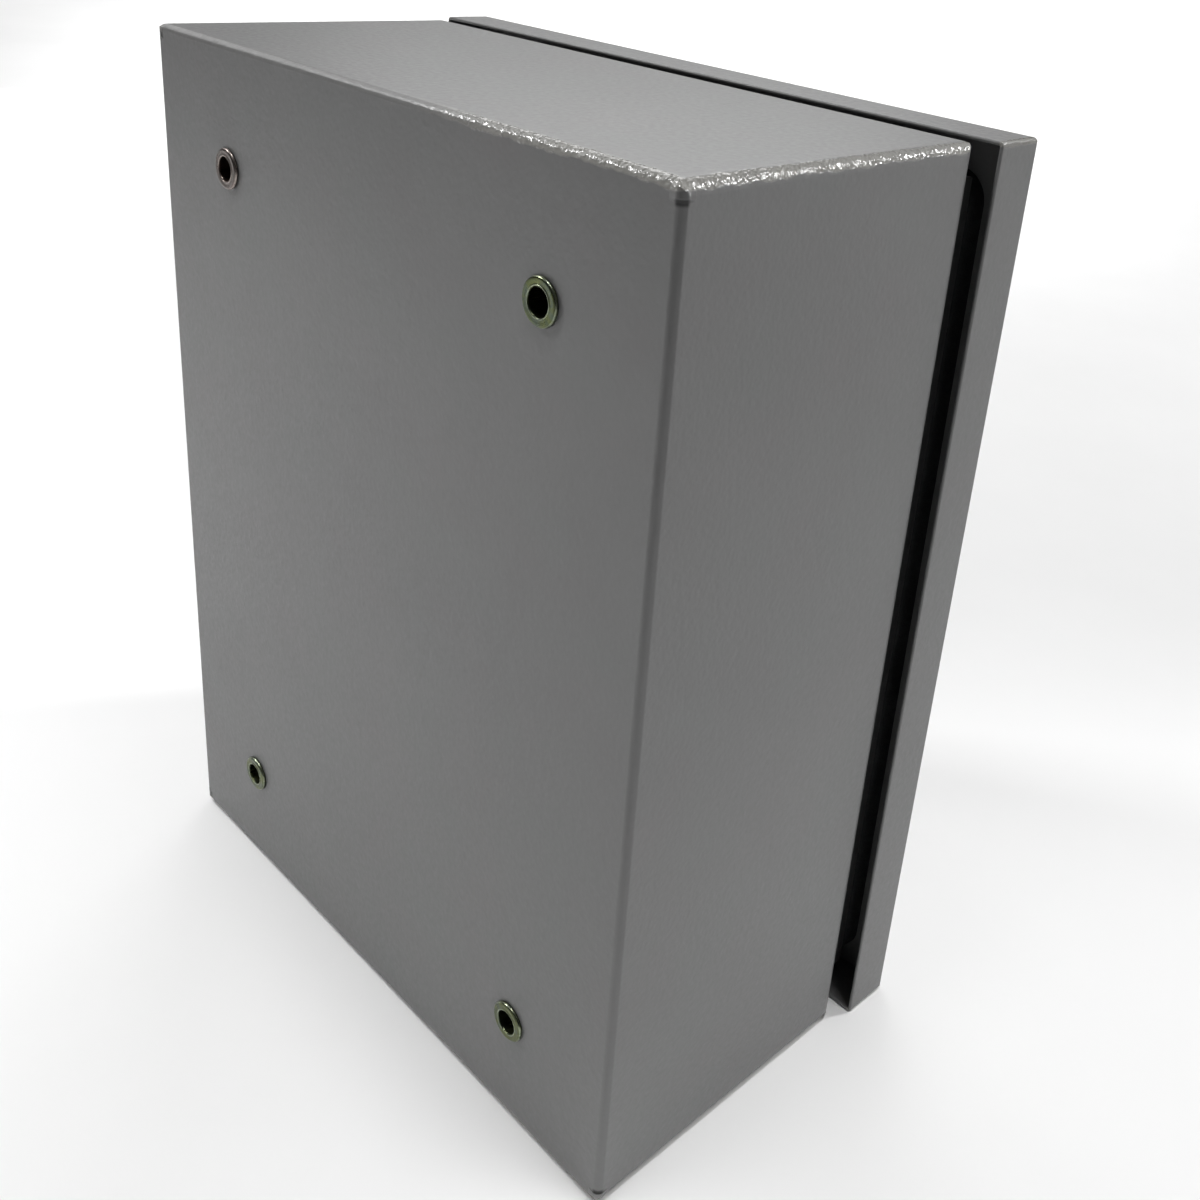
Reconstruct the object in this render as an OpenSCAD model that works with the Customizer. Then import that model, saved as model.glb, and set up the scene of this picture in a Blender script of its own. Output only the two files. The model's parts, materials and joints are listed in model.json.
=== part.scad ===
/* [Body] */
// Outer width of the body
body_w = 314; // [240:1:500]
// Outer height of the body
body_h = 400; // [320:1:700]
// Depth of the body from the rear wall to the front flange
body_d = 143.5; // [110:0.5:240]
// Thickness of the body sheet
sheet_t = 1.5; // [1.2:0.1:1.8]
// Outer radius of the rear bends and of the edges at the top and bottom of the rear wall
edge_r = 3; // [2.5:0.1:4]
// Outer radius of the ground weld edges between the sides and the top and bottom
side_r = 5; // [3:0.5:6]
// Outer radius of the upright bends at the front of the body
front_r = 6; // [5:0.5:8]
// Outer radius of the front bends of the top and bottom
lip_r = 3; // [2.5:0.5:6]

/* [Front rim] */
// Distance from the outer face of a wall in to the rim
rim_in = 13; // [12:0.5:16]
// Height of the rim in front of the front flange
rim_fwd = 21; // [19.5:0.5:22]
// Total width of the turned-in front face of the rim
rim_ret = 10; // [8:0.5:12]
// How far the rim sits below the middle of the body
rim_drop = 3.5; // [0:0.5:4]

/* [Door] */
// How far the door reaches past the body on each side
door_over_x = 5; // [4:0.5:6]
// How far the door reaches past the body at top and bottom
door_over_z = 0.5; // [0.5:0.5:3]
// Gap between the body and the rear edge of the door flanges
door_gap = 7.8; // [6.5:0.1:8]
// Depth of the door flanges
door_d = 24; // [23:0.5:26]
// Thickness of the door sheet
door_t = 1.5; // [1.2:0.1:1.6]
// Outer radius of the door bends
door_r = 2; // [1.8:0.1:2.5]

/* [Gasket] */
// Width of the foamed door gasket
gasket_w = 12; // [10:0.5:13]
// Height of the foamed door gasket
gasket_h = 9; // [8.5:0.1:9]

/* [Wall bushes] */
// Horizontal distance between the wall bushes
bush_x = 200; // [160:1:300]
// Vertical distance between the wall bushes
bush_z = 300; // [200:1:500]
// Radius of the bush bore
bush_bore_r = 5; // [4:0.25:5.2]
// Radius of the bush flange
bush_flange_r = 8.5; // [8:0.25:9]
// Thickness of the bush flange
bush_flange_t = 1.8; // [1.5:0.1:2.5]

/* [Mounting plate] */
// Width of the mounting plate
plate_w = 256; // [200:1:260]
// Height of the mounting plate
plate_h = 344; // [280:1:348]
// Thickness of the mounting plate
plate_t = 2; // [1.5:0.5:3]
// Distance between the rear wall and the mounting plate
plate_off = 15; // [14:0.5:20]

/* [Gland plate] */
// Width of the opening in the bottom panel
gland_w = 200; // [120:1:210]
// Depth of the opening in the bottom panel
gland_d = 80; // [60:1:86]

/* [Hinges] */
// Height of each hinge above and below the middle
hinge_z = 140; // [100:1:150]
// Radius of the hinge pin
pin_r = 2; // [1.5:0.25:2.25]
// Radius of the hinge knuckles
knuckle_r = 4; // [3.5:0.25:4]
// Running clearance between the pin and the door knuckle
pin_clear = 0.05; // [0.02:0.01:0.1]

/* [Lock] */
// Distance from the middle of the door to the lock
lock_x = 114; // [100:1:116]
// Length of the lock cam from the axis to its tip
cam_l = 27; // [25:0.5:28]

/* [Hidden] */
$fn = 64;

// Main planes. The wall faces of the bushes lie at y = 0 and the front is at -Y.
hw = body_w / 2;
hh = body_h / 2;
yb = -bush_flange_t;             // outer face of the rear wall
ybi = yb - sheet_t;              // inner face of the rear wall
yf = yb - body_d;                // front flange of the body
yl = yf - rim_fwd;               // front face of the rim
yr = yf - door_gap;              // rear edge of the door flanges
yd = yr - door_d;                // front face of the door
ydi = yd + door_t;               // inner face of the door
dw = hw + door_over_x;
dh = hh + door_over_z;
rx = hw - rim_in;                // outer face of the rim, sideways
rz = hh - rim_in;                // outer face of the rim, up and down
ox = rx - rim_ret;               // half width of the door opening
oz = rz - rim_ret;               // half height of the door opening
// Hinge axis
hax = hw - 2.5;
hay = yr - 3.7;
leaf_c = door_r - door_t + 0.1;  // clearance of the door leaves to the inner bend
// Mounting plate
yp = ybi - plate_off;            // rear face of the mounting plate
psx = plate_w / 2 - 12;          // stud positions
psz = plate_h / 2 - 12;
// Gland plate
gy = (ybi + yf) / 2;             // middle of the opening, front to back
gpx = gland_w / 2 + 12;          // half width of the gland plate
gpy = gland_d / 2 + 12;
gsx = gland_w / 2 + 5.5;         // stud rows
gsy = gland_d / 2 + 5.5;
zf = -hh + sheet_t;              // inner face of the bottom panel
// Colours
paint = [0.62, 0.63, 0.63];
yellow_zinc = [0.62, 0.60, 0.38];
zinc = [0.75, 0.77, 0.79];
galv = [0.70, 0.72, 0.73];
black = [0.06, 0.06, 0.06];
diecast = [0.55, 0.56, 0.58];

// Rectangle with one radius at its low-y corners and another at its high-y corners
module rr2(x0, x1, y0, y1, r0, r1) {
  translate([x0, y0 + r0]) square([x1 - x0, y1 - y0 - r0 - r1]);
  translate([x0 + r0, y0]) square([x1 - x0 - 2 * r0, r0 + 0.5]);
  translate([x0 + r1, y1 - r1 - 0.5]) square([x1 - x0 - 2 * r1, r1 + 0.5]);
  for (x = [x0 + r0, x1 - r0]) translate([x, y0 + r0]) circle(r = r0);
  for (x = [x0 + r1, x1 - r1]) translate([x, y1 - r1]) circle(r = r1);
}

// Box whose twelve edges are rounded: upright front edges rf, front edges of top and
// bottom rl, rear edges rb, edges between the sides and top and bottom rs
module rbox(a, b, c0, c1, rf, rl, rb, rs) {
  intersection() {
    translate([0, 0, -b]) linear_extrude(height = 2 * b) rr2(-a, a, c0, c1, rf, rb);
    translate([-a, 0, 0]) rotate([90, 0, 90]) linear_extrude(height = 2 * a)
      yz2(c0, c1, b, rl, rb);
    translate([0, c1, 0]) rotate([90, 0, 0]) linear_extrude(height = c1 - c0)
      rr2(-a, a, -b, b, rs, rs);
  }
}
module yz2(c0, c1, b, rf, rb) {
  translate([c0 + rf, -b]) square([c1 - c0 - rf - rb, 2 * b]);
  translate([c0, -b + rf]) square([rf + 0.5, 2 * b - 2 * rf]);
  translate([c1 - rb - 0.5, -b + rb]) square([rb + 0.5, 2 * b - 2 * rb]);
  for (z = [-b + rf, b - rf]) translate([c0 + rf, z]) circle(r = rf);
  for (z = [-b + rb, b - rb]) translate([c1 - rb, z]) circle(r = rb);
}

// Block between two corners
module blk(x0, x1, y0, y1, z0, z1) {
  translate([x0, y0, z0]) cube([x1 - x0, y1 - y0, z1 - z0]);
}
// Cylinder along Y from y0 to y1
module ycyl(r, y0, y1) {
  translate([0, y1, 0]) rotate([90, 0, 0]) cylinder(r = r, h = y1 - y0);
}
// Solid of revolution about the Y axis from a list of [radius, y] points
module yrev(pts) {
  rotate([-90, 0, 0]) rotate_extrude() polygon(pts);
}
// Hexagonal nut on the Z axis, from z = 0 up
module hexnut(af, h, bore) {
  difference() {
    intersection() {
      cylinder(r = af / sqrt(3), h = h, $fn = 6);
      rotate_extrude() polygon([[0, 0], [af * 0.5 - 0.1, 0], [af / sqrt(3) + 0.05, af * 0.08],
        [af / sqrt(3) + 0.05, h - af * 0.08], [af * 0.5 - 0.1, h], [0, h]]);
    }
    translate([0, 0, -1]) cylinder(r = bore, h = h + 2);
  }
}
module washer(r_out, r_in, h) {
  difference() {
    cylinder(r = r_out, h = h);
    translate([0, 0, -1]) cylinder(r = r_in, h = h + 2);
  }
}
// Turns +Z to -Y, so a part made upwards points to the front
module to_front() { rotate([90, 0, 0]) children(); }
// Turns +Z to +Y, so a part made upwards points to the rear
module to_rear() { rotate([-90, 0, 0]) children(); }

// Whole welded shell, cut into wrap, top and bottom below
module shell() {
  difference() {
    rbox(hw, hh, yf, yb, front_r, lip_r, edge_r, side_r);
    rbox(hw - sheet_t, hh - sheet_t, yf + sheet_t, yb - sheet_t,
         front_r - sheet_t, lip_r - sheet_t, edge_r - sheet_t, side_r - sheet_t);
    translate([0, 0, -rim_drop])
      blk(-rx + sheet_t, rx - sheet_t, yf - 5, yf + 5, -rz + sheet_t, rz - sheet_t);
  }
  // rim that stands forward of the front flange
  translate([0, 0, -rim_drop]) difference() {
    blk(-rx, rx, yl, yf + sheet_t, -rz, rz);
    blk(-rx + sheet_t, rx - sheet_t, yl + sheet_t, yf + 5, -rz + sheet_t, rz - sheet_t);
    blk(-ox, ox, yl - 5, yf + 5, -oz, oz);
  }
}
// Region of the shell that belongs to the top panel: the flat top and the
// top side of the front frame, mitred at 45 degrees
module top_region() {
  blk(-hw - 1, hw + 1, yf - 1, yb + 1, hh - sheet_t, hh + 1);
  e = rim_in + rim_ret + rim_drop + 4;
  translate([0, yf + front_r, 0]) rotate([90, 0, 0])
    linear_extrude(height = front_r + rim_fwd + 1)
      polygon([[-hw - 1, hh + 1], [hw + 1, hh + 1], [hw - e, hh - e], [-hw + e, hh - e]]);
}

module bush_holes() {
  for (x = [-1, 1], z = [-1, 1]) translate([x * bush_x / 2, 0, z * bush_z / 2])
    ycyl(6.6, ybi - 1, yb + 1);
}
module leaf_screw_spots() {
  for (s = [-1, 1], k = [-1, 1]) translate([0, yf - 10.5, s * hinge_z + k * 13]) children();
}

module body_wrap() {
  color(paint) difference() {
    shell();
    top_region();
    mirror([0, 0, 1]) top_region();
    bush_holes();
    leaf_screw_spots() translate([rx - 3, 0, 0]) rotate([0, 90, 0]) cylinder(r = 2.6, h = 5);
  }
}
module top_panel() {
  color(paint) intersection() { shell(); top_region(); }
}
module bottom_panel() {
  color(paint) difference() {
    intersection() { shell(); mirror([0, 0, 1]) top_region(); }
    blk(-gland_w / 2, gland_w / 2, gy - gland_d / 2, gy + gland_d / 2, -hh - 1, -hh + 5);
  }
}

// Flanged bushes crimped into the rear wall, open right through
module wall_bushes() {
  color(yellow_zinc) for (x = [-1, 1], z = [-1, 1])
    translate([x * bush_x / 2, 0, z * bush_z / 2]) yrev([
      [bush_bore_r, -14], [6.5, -14], [6.5, ybi - 2.2], [7.7, ybi - 1.4], [7.7, ybi],
      [6.5, ybi], [6.5, yb], [bush_flange_r, yb], [bush_flange_r, -1.0],
      [bush_flange_r - 0.25, -0.45], [bush_flange_r - 0.7, -0.12], [bush_flange_r - 1.2, 0],
      [bush_bore_r + 0.4, 0], [bush_bore_r, -0.4]]);
}

module plate_spots() {
  for (x = [-1, 1], z = [-1, 1]) translate([x * psx, 0, z * psz]) children();
}
module mounting_plate() {
  color(galv) difference() {
    translate([0, yp, 0]) rotate([90, 0, 0]) linear_extrude(height = plate_t)
      rr2(-plate_w / 2, plate_w / 2, -plate_h / 2, plate_h / 2, 6, 6);
    plate_spots() ycyl(4.5, yp - 5, yp + 5);
    for (x = [-1, 1], z = [-1, 1]) translate([x * bush_x / 2, 0, z * bush_z / 2])
      ycyl(8, yp - 5, yp + 5);
  }
}
// Studs welded to the rear wall, with a shoulder that carries the plate
module plate_studs() {
  color(zinc) plate_spots() {
    ycyl(7, yp, ybi);
    ycyl(3.9, yp - plate_t - 14, yp + 1);
  }
}
module plate_washers() {
  color(zinc) plate_spots() translate([0, yp - plate_t, 0]) to_front() washer(8, 4.2, 1.6);
}
module plate_nuts() {
  color(zinc) plate_spots() translate([0, yp - plate_t - 1.6, 0]) to_front() hexnut(13, 6.5, 4);
}

module gland_spots() {
  for (x = [-1, 0, 1], y = [-1, 1]) translate([x * gsx, gy + y * gsy, 0]) children();
}
module gland_gasket() {
  color(black) difference() {
    blk(-gpx, gpx, gy - gpy, gy + gpy, zf, zf + 3);
    blk(-gland_w / 2, gland_w / 2, gy - gland_d / 2, gy + gland_d / 2, zf - 1, zf + 4);
    gland_spots() translate([0, 0, zf - 1]) cylinder(r = 2.8, h = 5);
  }
}
module gland_plate() {
  color(paint) difference() {
    translate([0, 0, zf + 3]) linear_extrude(height = sheet_t)
      rr2(-gpx, gpx, gy - gpy, gy + gpy, 3, 3);
    gland_spots() translate([0, 0, zf + 2]) cylinder(r = 2.8, h = 5);
  }
}
module gland_studs() {
  color(zinc) gland_spots() translate([0, 0, zf]) cylinder(r = 2.45, h = 14);
}
module gland_nuts() {
  color(zinc) gland_spots() translate([0, 0, zf + 3 + sheet_t]) hexnut(8, 4, 2.5);
}

// Earth stud on the bottom panel beside the gland plate
module body_earth_at() { translate([gpx + 16, gy - 20, zf]) children(); }
module body_earth_stud() {
  color(zinc) body_earth_at() { cylinder(r = 5, h = 1.5); cylinder(r = 2.95, h = 18); }
}
module body_earth_washer() {
  color(zinc) body_earth_at() translate([0, 0, 1.5]) washer(6.2, 3.1, 1.6);
}
module body_earth_nut() {
  color(zinc) body_earth_at() translate([0, 0, 3.1]) hexnut(10, 5, 3);
}

// Body leaf: a strip on the outer face of the rim with two knuckles
module body_leaf() {
  difference() {
    union() {
      blk(rx, rx + 2, yl + 2, yf - 2, -20, 20);
      for (s = [-1, 1]) {
        translate([hax, hay, s * 14 - 6]) cylinder(r = knuckle_r, h = 12);
        blk(rx + 1, hax - 2.5, hay - 1, hay + 1, s * 14 - 6, s * 14 + 6);
      }
    }
    translate([hax, hay, -25]) cylinder(r = pin_r + 0.01, h = 50);
    for (k = [-1, 1]) translate([rx - 1, yf - 10.5, k * 13]) rotate([0, 90, 0]) cylinder(r = 2.6, h = 5);
    for (k = [-1, 1]) translate([rx + 0.6, yf - 10.5, k * 13]) rotate([0, 90, 0])
      cylinder(r1 = 2.6, r2 = 4.2, h = 1.41);
  }
}
module upper_hinge_body_leaf() { color(zinc) translate([0, 0, hinge_z]) body_leaf(); }
module lower_hinge_body_leaf() { color(zinc) translate([0, 0, -hinge_z]) body_leaf(); }

// Pin with a head on its upper end
module pin() {
  translate([hax, hay, -20.5]) cylinder(r = pin_r, h = 41.5);
  translate([hax, hay, 20]) cylinder(r = 3.2, h = 1.6);
}
module upper_hinge_pin() { color(zinc) translate([0, 0, hinge_z]) pin(); }
module lower_hinge_pin() { color(zinc) translate([0, 0, -hinge_z]) pin(); }

module hinge_body_screws() {
  color(zinc) leaf_screw_spots() translate([rx, 0, 0]) rotate([0, 90, 0]) {
    translate([0, 0, -8]) cylinder(r = 2.45, h = 8.7);
    translate([0, 0, 0.6]) cylinder(r1 = 2.45, r2 = 4.05, h = 1.4);
  }
}
module hinge_body_nuts() {
  color(zinc) leaf_screw_spots() translate([rx - sheet_t - 4, 0, 0]) rotate([0, 90, 0]) hexnut(8, 4, 2.5);
}

// Door: a flat pan with flanges all round
module door_panel() {
  color(paint) difference() {
    rbox(dw, dh, yd, yr + 5, door_r, door_r, 1, door_r);
    rbox(dw - door_t, dh - door_t, yd + door_t, yr + 10,
         door_r - door_t, door_r - door_t, 0.5, door_r - door_t);
    blk(-dw - 1, dw + 1, yr, yr + 20, -dh - 1, dh + 1);
    translate([-lock_x, 0, 0]) ycyl(11.3, yd - 1, ydi + 1);
  }
}
module door_gasket() {
  gx = (rx + ox) / 2;
  gz = (rz + oz) / 2;
  g = gasket_w / 2;
  color(black) translate([0, ydi + gasket_h, -rim_drop]) rotate([90, 0, 0])
    linear_extrude(height = gasket_h)
    difference() {
      rr2(-gx - g, gx + g, -gz - g, gz + g, 8, 8);
      rr2(-gx + g, gx - g, -gz + g, gz - g, 4, 4);
    }
}
// Studs welded to the inner face of the door
module hinge_stud_spots() {
  for (s = [-1, 1], k = [-1, 1]) translate([hax - 1.5, ydi, s * hinge_z + k * 13]) children();
}
module door_earth_at() { translate([dw - 47, ydi, -hinge_z - 10]) children(); }
module door_studs() {
  color(zinc) {
    hinge_stud_spots() to_rear() cylinder(r = 1.95, h = 7.5);
    door_earth_at() to_rear() { cylinder(r = 5, h = 1.5); cylinder(r = 2.95, h = 16); }
  }
}
// Door leaf: base on the door, upright beside the flange, one knuckle
module door_leaf() {
  difference() {
    union() {
      blk(hax - 6.5, dw - door_t - leaf_c, ydi, ydi + 2, -20, 20);
      blk(dw - door_t - 2, dw - door_t, ydi + leaf_c, hay + 1, -7.7, 7.7);
      blk(hax, dw - door_t - 1, hay - 1.2, hay + 1, -7.7, 7.7);
      translate([hax, hay, -7.7]) cylinder(r = knuckle_r, h = 15.4);
    }
    translate([hax, hay, -25]) cylinder(r = pin_r + pin_clear, h = 50);
    for (k = [-1, 1]) translate([hax - 1.5, ydi - 1, k * 13]) to_rear() cylinder(r = 2.1, h = 5);
  }
}
module upper_hinge_door_leaf() { color(zinc) translate([0, 0, hinge_z]) door_leaf(); }
module lower_hinge_door_leaf() { color(zinc) translate([0, 0, -hinge_z]) door_leaf(); }
module hinge_door_nuts() {
  color(zinc) hinge_stud_spots() translate([0, 2, 0]) to_rear() hexnut(7, 3.2, 2);
}
module door_earth_washer() {
  color(zinc) door_earth_at() translate([0, 1.5, 0]) to_rear() washer(6.2, 3.1, 1.6);
}
module door_earth_nut() {
  color(zinc) door_earth_at() translate([0, 3.1, 0]) to_rear() hexnut(10, 5, 3);
}

// Quarter-turn lock
ych = yl + sheet_t + 0.7;         // front face of the cam
yhe = ych - 1.6;                  // rear end of the housing barrel
module lock_at() { translate([-lock_x, 0, 0]) children(); }
module lock_housing() {
  color(diecast) lock_at() yrev([
    [7.06, yhe], [10.9, yhe], [10.9, yd - 0.8], [14, yd - 0.8], [14, yd - 2.2], [13, yd - 3.2],
    [8.56, yd - 3.2], [8.56, yd - 1.4], [7.06, yd - 1.4]]);
}
module lock_seal() {
  color(black) lock_at() translate([0, yd, 0]) to_front() washer(13.2, 11.2, 0.8);
}
module lock_nut() {
  color(zinc) lock_at() translate([0, ydi, 0]) to_rear() hexnut(26, 5, 11);
}
module lock_rotor() {
  color(diecast) lock_at() difference() {
    union() {
      yrev([[0, ych], [9, ych], [9, ych - 1.3], [7, ych - 1.3], [7, yd - 1.5],
            [8.5, yd - 1.5], [8.5, yd - 2.9], [8.2, yd - 3.2], [0, yd - 3.2]]);
      blk(-4, 4, ych - 1, ych + 3, -4, 4);
    }
    // keyway with two wings and a centre pin
    difference() {
      union() {
        ycyl(4.2, yd - 4, yd + 4);
        blk(-1.6, 1.6, yd - 4, yd + 4, -6.2, 6.2);
      }
      ycyl(1.5, yd - 2.6, yd + 5);
    }
    ycyl(2.5, ych - 6, ych + 4);
  }
}
module lock_cam() {
  color(zinc) lock_at() difference() {
    union() {
      ycyl(10, ych, ych + 3);
      translate([0, ych + 3, 0]) rotate([90, 0, 0]) linear_extrude(height = 3)
        rr2(-8, 8, 0, cam_l, 0.5, 4);
    }
    blk(-4.05, 4.05, ych - 1, ych + 5, -4.05, 4.05);
  }
}
module cam_washer() {
  color(zinc) lock_at() translate([0, ych + 3, 0]) to_rear() washer(7, 3.2, 1.6);
}
module cam_screw() {
  color(zinc) lock_at() {
    ycyl(2.45, ych - 5.5, ych + 4.6);
    translate([0, ych + 4.6, 0]) to_rear() intersection() {
      cylinder(r = 10 / sqrt(3), h = 4, $fn = 6);
      rotate_extrude() polygon([[0, 0], [5.9, 0], [5.9, 3.2], [4.9, 4], [0, 4]]);
    }
  }
}

body_wrap();
top_panel();
bottom_panel();
wall_bushes();
mounting_plate();
plate_studs();
plate_washers();
plate_nuts();
gland_plate();
gland_gasket();
gland_studs();
gland_nuts();
body_earth_stud();
body_earth_washer();
body_earth_nut();
upper_hinge_body_leaf();
lower_hinge_body_leaf();
upper_hinge_pin();
lower_hinge_pin();
hinge_body_screws();
hinge_body_nuts();
door_panel();
door_gasket();
door_studs();
upper_hinge_door_leaf();
lower_hinge_door_leaf();
hinge_door_nuts();
door_earth_washer();
door_earth_nut();
lock_housing();
lock_seal();
lock_nut();
lock_rotor();
lock_cam();
cam_washer();
cam_screw();
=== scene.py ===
import json
import math

import bmesh
import bpy
import numpy as np
from mathutils import Matrix, Vector, noise


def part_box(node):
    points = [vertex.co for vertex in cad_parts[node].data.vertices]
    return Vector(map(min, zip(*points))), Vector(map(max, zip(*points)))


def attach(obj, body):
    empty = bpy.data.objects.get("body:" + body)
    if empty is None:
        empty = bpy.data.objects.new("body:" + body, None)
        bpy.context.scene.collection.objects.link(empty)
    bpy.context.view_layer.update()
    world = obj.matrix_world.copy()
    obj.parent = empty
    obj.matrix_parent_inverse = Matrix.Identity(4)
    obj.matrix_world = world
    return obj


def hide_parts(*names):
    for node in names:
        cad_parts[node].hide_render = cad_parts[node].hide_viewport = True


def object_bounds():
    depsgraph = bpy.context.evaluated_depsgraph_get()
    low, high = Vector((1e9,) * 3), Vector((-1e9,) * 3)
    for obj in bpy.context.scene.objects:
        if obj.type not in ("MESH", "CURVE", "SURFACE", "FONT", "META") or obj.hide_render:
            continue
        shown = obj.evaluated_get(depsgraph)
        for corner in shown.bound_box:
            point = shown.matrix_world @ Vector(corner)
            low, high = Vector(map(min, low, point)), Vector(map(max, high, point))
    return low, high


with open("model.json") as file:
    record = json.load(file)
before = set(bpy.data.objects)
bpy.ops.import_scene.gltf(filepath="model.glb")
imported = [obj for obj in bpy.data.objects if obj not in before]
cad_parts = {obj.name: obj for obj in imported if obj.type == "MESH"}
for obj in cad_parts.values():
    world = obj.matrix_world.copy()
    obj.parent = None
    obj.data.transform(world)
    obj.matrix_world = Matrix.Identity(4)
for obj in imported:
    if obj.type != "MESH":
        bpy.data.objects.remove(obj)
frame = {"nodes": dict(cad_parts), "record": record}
cad_box = [list(v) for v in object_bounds()]
scene = bpy.context.scene
NODES = frame["nodes"]
BODY_OF = {n: b for b, ns in frame["record"]["behaviour"]["bodies"].items() for n in ns}
MM = 0.001

# ------------------------------------------------------------------ camera
cam_data = bpy.data.cameras.new("camera")
cam_data.sensor_fit = "HORIZONTAL"
cam_data.sensor_width = 36.0
cam_data.lens = 39.62
cam_data.shift_x = -0.0740
cam_data.shift_y = -0.1468
cam_data.clip_start = 0.02
cam_data.clip_end = 200.0
cam = bpy.data.objects.new("camera", cam_data)
scene.collection.objects.link(cam)
_r = Vector((-0.70619, -0.70279, 0.08596)).normalized()
_f = Vector((0.62745, -0.67744, -0.38390)).normalized()
_u = _r.cross(_f).normalized()
_r = _f.cross(_u).normalized()
cam.matrix_world = Matrix((
    (_r.x, _u.x, -_f.x, -0.40278),
    (_r.y, _u.y, -_f.y, 0.25280),
    (_r.z, _u.z, -_f.z, 0.27676),
    (0, 0, 0, 1)))
scene.camera = cam

# ------------------------------------------------------- main planes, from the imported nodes
def box(n):
    lo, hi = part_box(n)
    return np.array(lo), np.array(hi)

W_LO, W_HI = box("body_wrap")
T_LO, T_HI = box("top_panel")
D_LO, D_HI = box("door_panel")
HW = float(W_HI[0])          # half width of the body
HH = float(T_HI[2])                 # half height of the body
YB = float(W_HI[1])          # rear wall
YD = D_LO[1]                 # door front
YF = YB - 0.1435             # front flange of the body
SHEET = 0.0015


# ------------------------------------------------------------------ node helpers
class Graph:
    def __init__(self, name):
        self.m = bpy.data.materials.new(name)
        self.m.use_nodes = True
        self.t = self.m.node_tree
        self.t.nodes.clear()
        self.out = self.t.nodes.new("ShaderNodeOutputMaterial")
        self.p = self.t.nodes.new("ShaderNodeBsdfPrincipled")
        self.t.links.new(self.p.outputs["BSDF"], self.out.inputs["Surface"])
        self.co = self.t.nodes.new("ShaderNodeTexCoord").outputs["Object"]

    def put(self, node, key, v):
        if isinstance(v, bpy.types.NodeSocket):
            self.t.links.new(v, node.inputs[key])
        else:
            node.inputs[key].default_value = v

    def set(self, **kw):
        names = {"color": "Base Color", "rough": "Roughness", "metal": "Metallic",
                 "spec": "Specular IOR Level", "ior": "IOR", "normal": "Normal",
                 "coat": "Coat Weight", "coat_rough": "Coat Roughness", "aniso": "Anisotropic"}
        for k, v in kw.items():
            self.put(self.p, names[k], v)

    def mapped(self, scale=(1, 1, 1), loc=(0, 0, 0), rot=(0, 0, 0), src=None):
        n = self.t.nodes.new("ShaderNodeMapping")
        self.t.links.new(src or self.co, n.inputs["Vector"])
        n.inputs["Scale"].default_value = scale
        n.inputs["Location"].default_value = loc
        n.inputs["Rotation"].default_value = rot
        return n.outputs["Vector"]

    def noise(self, scale, detail=2.0, rough=0.5, distort=0.0, src=None):
        n = self.t.nodes.new("ShaderNodeTexNoise")
        self.t.links.new(src or self.co, n.inputs["Vector"])
        n.inputs["Scale"].default_value = scale
        n.inputs["Detail"].default_value = detail
        n.inputs["Roughness"].default_value = rough
        n.inputs["Distortion"].default_value = distort
        return n.outputs["Fac"]

    def voronoi(self, scale, feature="SMOOTH_F1", smooth=0.7, rand=1.0, src=None, out="Distance"):
        n = self.t.nodes.new("ShaderNodeTexVoronoi")
        n.feature = feature
        self.t.links.new(src or self.co, n.inputs["Vector"])
        n.inputs["Scale"].default_value = scale
        if "Smoothness" in n.inputs and feature == "SMOOTH_F1":
            n.inputs["Smoothness"].default_value = smooth
        n.inputs["Randomness"].default_value = rand
        return n.outputs[out]

    def math(self, op, a, b=0.0, c=0.0, clamp=False):
        n = self.t.nodes.new("ShaderNodeMath")
        n.operation = op
        n.use_clamp = clamp
        for i, v in enumerate((a, b, c)):
            self.put(n, i, v)
        return n.outputs[0]

    def remap(self, v, a, b, c, d, smooth=False):
        n = self.t.nodes.new("ShaderNodeMapRange")
        if smooth:
            n.interpolation_type = "SMOOTHSTEP"
        n.clamp = True
        for k, x in (("Value", v), ("From Min", a), ("From Max", b), ("To Min", c), ("To Max", d)):
            self.put(n, k, x)
        return n.outputs["Result"]

    def ramp(self, v, stops, interp="LINEAR"):
        n = self.t.nodes.new("ShaderNodeValToRGB")
        self.t.links.new(v, n.inputs["Fac"])
        e = n.color_ramp.elements
        n.color_ramp.interpolation = interp
        while len(e) < len(stops):
            e.new(0.5)
        for el, (pos, col) in zip(e, stops):
            el.position = pos
            el.color = (*col, 1.0)
        return n.outputs["Color"]

    def mix(self, fac, a, b, mode="MIX"):
        n = self.t.nodes.new("ShaderNodeMix")
        n.data_type = "RGBA"
        n.blend_type = mode
        for s, v in (("Factor_Float", fac), ("A_Color", a), ("B_Color", b)):
            sock = next(i for i in n.inputs if i.identifier == s)
            if isinstance(v, bpy.types.NodeSocket):
                self.t.links.new(v, sock)
            else:
                sock.default_value = v if isinstance(v, (int, float)) else (*v, 1.0)
        return next(o for o in n.outputs if o.identifier == "Result_Color")

    def bump(self, height, dist, strength=1.0, normal=None):
        n = self.t.nodes.new("ShaderNodeBump")
        n.inputs["Strength"].default_value = strength
        n.inputs["Distance"].default_value = dist
        self.t.links.new(height, n.inputs["Height"])
        if normal is not None:
            self.t.links.new(normal, n.inputs["Normal"])
        return n.outputs["Normal"]

    def axes(self):
        n = self.t.nodes.new("ShaderNodeSeparateXYZ")
        self.t.links.new(self.co, n.inputs[0])
        return n.outputs[0], n.outputs[1], n.outputs[2]


PAINT = (0.172, 0.1705, 0.1705)

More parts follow.
